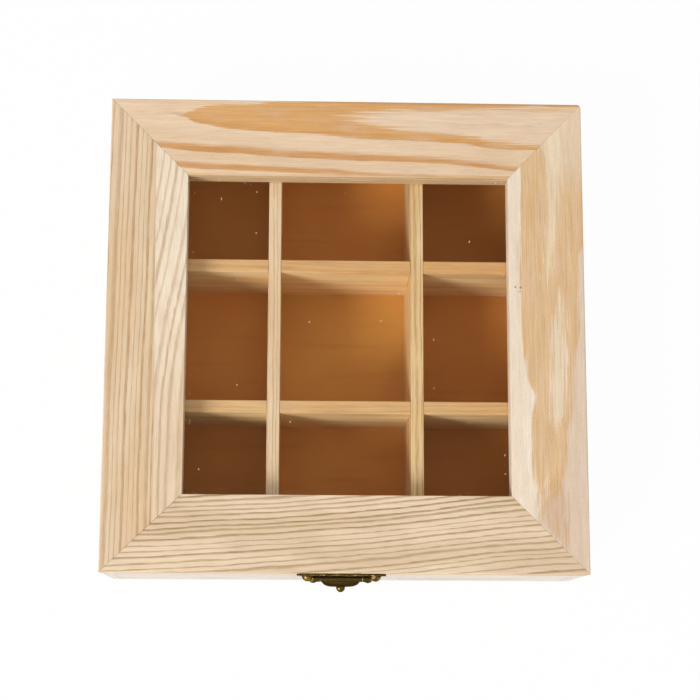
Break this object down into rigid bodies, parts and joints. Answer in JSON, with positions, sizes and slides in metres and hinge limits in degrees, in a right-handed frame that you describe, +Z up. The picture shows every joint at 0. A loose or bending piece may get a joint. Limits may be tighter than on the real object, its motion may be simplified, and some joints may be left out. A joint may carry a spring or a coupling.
{
  "type": "tea bag organizer box",
  "caption": "Square pine box divided into equal compartments for tea bags, with a hinged frame lid round a clear window and a bronze hasp at the front.",
  "frame": {"origin": "centre of the underside, on the surface that the box stands on", "axes": "+Z up; -Y towards the hasp at the front, +Y towards the hinges at the back; +X to the right seen from the front"},
  "size_m": [0.24, 0.2519, 0.07],
  "materials": {
    "pine": "planed and sanded, unfinished, with growth-ring grain",
    "hardboard": "smooth brown pressed fibre board",
    "glass": "clear and flat",
    "antique_bronze": "dark aged bronze, rubbed to gold on the edges",
    "steel": "plain bright wire"
  },
  "bodies": {
    "box": {"front_wall": "pine", "back_wall": "pine", "left_wall": "pine", "right_wall": "pine", "base_panel": "hardboard", "divider_left": "pine", "divider_right": "pine", "divider_front": "pine", "divider_back": "pine", "corner_brads": "steel", "base_brads": "steel", "hinge_left_box_leaf": "antique_bronze", "hinge_right_box_leaf": "antique_bronze", "hinge_left_pin": "antique_bronze", "hinge_right_pin": "antique_bronze", "hinge_box_screws": "antique_bronze", "catch_plate": "antique_bronze", "catch_knob": "antique_bronze", "catch_nails": "antique_bronze"},
    "lid": {"lid_front_rail": "pine", "lid_back_rail": "pine", "lid_left_rail": "pine", "lid_right_rail": "pine", "window_pane": "glass", "lid_mitre_nails": "steel", "hinge_left_lid_leaf": "antique_bronze", "hinge_right_lid_leaf": "antique_bronze", "hinge_lid_screws": "antique_bronze", "latch_lid_plate": "antique_bronze", "latch_lid_nails": "antique_bronze", "latch_pin": "antique_bronze"},
    "hasp": {"latch_hasp": "antique_bronze"}
  },
  "joints": [
    {"name": "lid_hinge", "type": "hinge", "parent": "box", "child": "lid", "pos_m": [0, 0.1216, 0.05785], "axis": [-1, 0, 0], "range_deg": [0, 105]},
    {"name": "hasp_hinge", "type": "hinge", "parent": "lid", "child": "hasp", "pos_m": [-0.0018, -0.122, 0.0604], "axis": [-1, 0, 0], "range_deg": [0, 150]}
  ]
}
